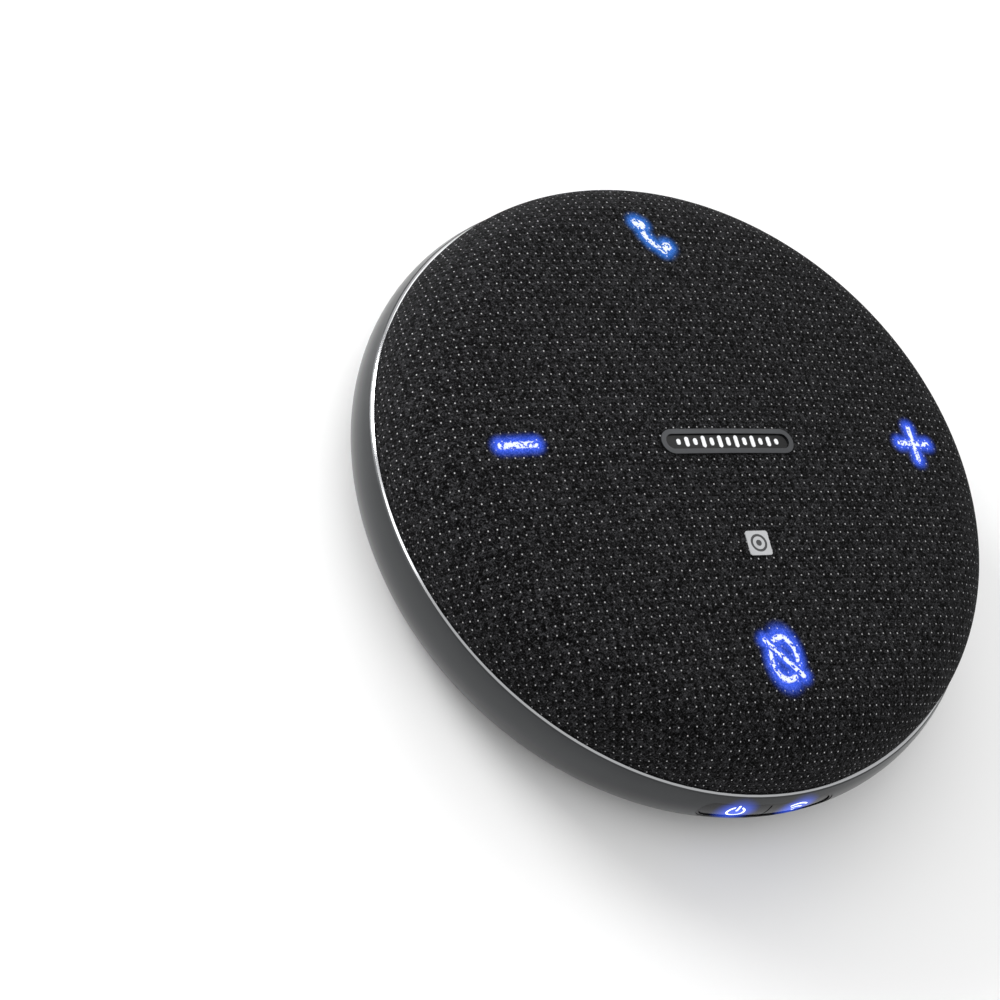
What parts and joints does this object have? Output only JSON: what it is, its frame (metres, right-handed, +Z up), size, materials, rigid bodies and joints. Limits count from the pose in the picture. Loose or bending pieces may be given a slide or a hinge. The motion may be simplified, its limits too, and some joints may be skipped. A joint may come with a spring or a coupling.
{
  "type": "conference speakerphone",
  "caption": "Round tabletop conference speakerphone with a domed cloth top, lit touch symbols, a satin metal side band and two side keys.",
  "frame": {"origin": "centre of the foot ring's underside, which is the bottom centre of the whole box", "axes": "+Z up out of the cloth dome, -Y towards the two side keys, +X towards volume up, +Y towards the charging socket"},
  "size_m": [0.13, 0.1297, 0.033],
  "materials": {
    "charcoal_cloth": "woven, matt",
    "satin_band": "bead-blasted and anodised, polished chamfer",
    "black_plastic": "fine spark texture",
    "foot_rubber": "matt silicone",
    "badge_bezel": "satin, bright cut edge",
    "badge_plate": "gloss",
    "badge_mark": "printed",
    "tag_film": "printed film",
    "antenna_film": "copper track on film",
    "key_black": "satin gloss",
    "lit_symbol": "lit white",
    "light_guide": "milky diffuser",
    "circuit_board": "solder mask",
    "lamp": "moulded",
    "chip_black": "moulded",
    "white_nylon": "moulded",
    "tinned_steel": "tinned",
    "zinc_screw": "zinc plated",
    "pressed_steel": "pressed",
    "ferrite": "sintered",
    "coil_paper": "varnished",
    "copper": "enamelled wire",
    "cone_paper": "pressed pulp",
    "black_rubber": "moulded",
    "foam": "closed-cell foam",
    "battery_foil": "heat-sealed foil",
    "lead_sleeve": "extruded",
    "flat_link": "polyimide film"
  },
  "bodies": {
    "housing": {"badge_bezel": "badge_bezel", "badge_mark": "badge_mark", "badge_plate": "badge_plate", "battery": "battery_foil", "battery_lead": "lead_sleeve", "battery_pad": "foam", "board_chips": "chip_black", "board_link": "flat_link", "board_plugs": "white_nylon", "board_screws": "zinc_screw", "bottom_cover": "black_plastic", "call_light": "light_guide", "case_screws": "zinc_screw", "chamber_gasket": "foam", "contactless_antenna": "antenna_film", "fabric_cover": "charcoal_cloth", "foot_ring": "foot_rubber", "grille_screws": "zinc_screw", "key_bezel": "key_black", "key_board": "circuit_board", "key_lamps": "lamp", "key_lead": "lead_sleeve", "key_switches": "chip_black", "link_sockets": "white_nylon", "main_board": "circuit_board", "microphone_boots": "black_rubber", "microphones": "tinned_steel", "mid_frame": "black_plastic", "mute_light": "light_guide", "power_snap_dome": "tinned_steel", "rear_chamber": "black_plastic", "shield_can": "tinned_steel", "side_band": "satin_band", "speaker_basket": "pressed_steel", "speaker_gasket": "foam", "speaker_lead": "lead_sleeve", "speaker_magnet": "ferrite", "speaker_screws": "zinc_screw", "speaker_spider": "coil_paper", "speaker_top_plate": "pressed_steel", "speaker_yoke": "pressed_steel", "tag_mark": "tag_film", "top_grille": "black_plastic", "touch_board": "circuit_board", "touch_lamps": "lamp", "usb_socket": "tinned_steel", "volume_down_light": "light_guide", "volume_up_light": "light_guide", "wireless_snap_dome": "tinned_steel"},
    "power_button": {"power_key": "key_black", "power_symbol": "lit_symbol", "power_stem": "white_nylon"},
    "wireless_button": {"wireless_key": "key_black", "wireless_symbol": "lit_symbol", "wireless_stem": "white_nylon"},
    "speaker_diaphragm": {"coil_former": "coil_paper", "coil_winding": "copper", "speaker_cone": "cone_paper", "dust_cap": "cone_paper", "speaker_surround": "black_rubber"}
  },
  "joints": [
    {"name": "power_press", "type": "slide", "parent": "housing", "child": "power_button", "axis": [0, 1, 0], "range_m": [0, 0.0005], "stiffness_N_per_m": 3000, "deforming": ["power_snap_dome"]},
    {"name": "wireless_press", "type": "slide", "parent": "housing", "child": "wireless_button", "axis": [0, 1, 0], "range_m": [0, 0.0005], "stiffness_N_per_m": 3000, "deforming": ["wireless_snap_dome"]},
    {"name": "diaphragm_travel", "type": "slide", "parent": "housing", "child": "speaker_diaphragm", "axis": [0, 0, 1], "range_m": [-0.0015, 0.0015], "stiffness_N_per_m": 2000, "deforming": ["speaker_surround", "speaker_spider"]}
  ]
}
